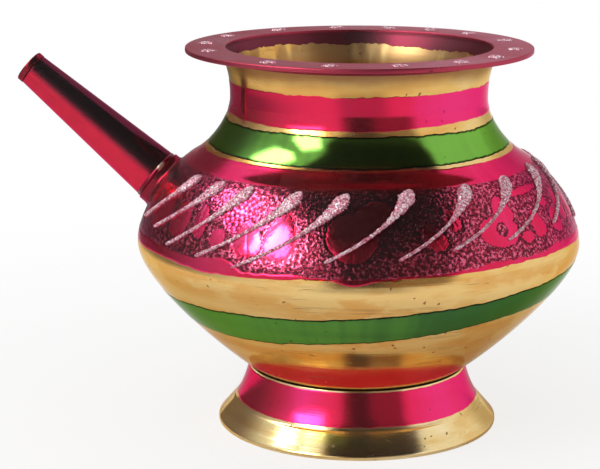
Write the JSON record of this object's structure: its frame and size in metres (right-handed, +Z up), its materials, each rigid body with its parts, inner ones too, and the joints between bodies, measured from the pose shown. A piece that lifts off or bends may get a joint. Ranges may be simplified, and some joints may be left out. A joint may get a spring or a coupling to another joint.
{
  "type": "karwa water pot",
  "caption": "Round-bellied spouted water pot on a flared foot, with a flat rim, coloured bands and raised glitter strokes.",
  "frame": {"origin": "centre of the whole pot's box in plan, on the table plane under the foot; the pot's own axis stands 18.2 mm towards +X", "axes": "+Z up along the pot's axis, -X along the spout in plan, the pictured side faces -Y"},
  "size_m": [0.1614, 0.125, 0.1081],
  "materials": {
    "brass": "turned and polished, fine turning lines, small brown marks",
    "braze": "filler metal, dull and slightly lumpy",
    "solder": "soft solder, satin grey",
    "pink_lacquer": "transparent pink lacquer over brass, glossy, hand-painted edges",
    "maroon_lacquer": "transparent dark red lacquer over brass, glossy",
    "green_lacquer": "transparent green lacquer over brass, glossy, dark outlines",
    "glitter": "dried glitter paste, grainy, silver-pink sparkle"
  },
  "bodies": {
    "root": {"foot_braze": "braze", "foot_ring": "brass", "glitter_dab_01": "glitter", "glitter_dab_02": "glitter", "glitter_dab_03": "glitter", "glitter_dab_04": "glitter", "glitter_dab_05": "glitter", "glitter_dab_06": "glitter", "glitter_dab_07": "glitter", "glitter_dab_08": "glitter", "glitter_dab_09": "glitter", "glitter_dab_10": "glitter", "glitter_dab_11": "glitter", "glitter_dab_12": "glitter", "glitter_dab_13": "glitter", "glitter_dab_14": "glitter", "glitter_dab_15": "glitter", "glitter_stroke_01": "glitter", "glitter_stroke_02": "glitter", "glitter_stroke_03": "glitter", "glitter_stroke_04": "glitter", "glitter_stroke_05": "glitter", "glitter_stroke_06": "glitter", "glitter_stroke_07": "glitter", "glitter_stroke_08": "glitter", "glitter_stroke_09": "glitter", "glitter_stroke_10": "glitter", "glitter_stroke_11": "glitter", "glitter_stroke_12": "glitter", "glitter_stroke_13": "glitter", "glitter_stroke_14": "glitter", "glitter_stroke_15": "glitter", "glitter_stroke_16": "glitter", "glitter_stroke_17": "glitter", "glitter_stroke_18": "glitter", "lower_bowl": "brass", "rim_braze": "braze", "rim_ring": "pink_lacquer", "spout_mouth_ring": "maroon_lacquer", "spout_root_collar": "maroon_lacquer", "spout_solder_ring": "solder", "spout_tube": "maroon_lacquer", "upper_shell": "brass"}
  },
  "joints": []
}
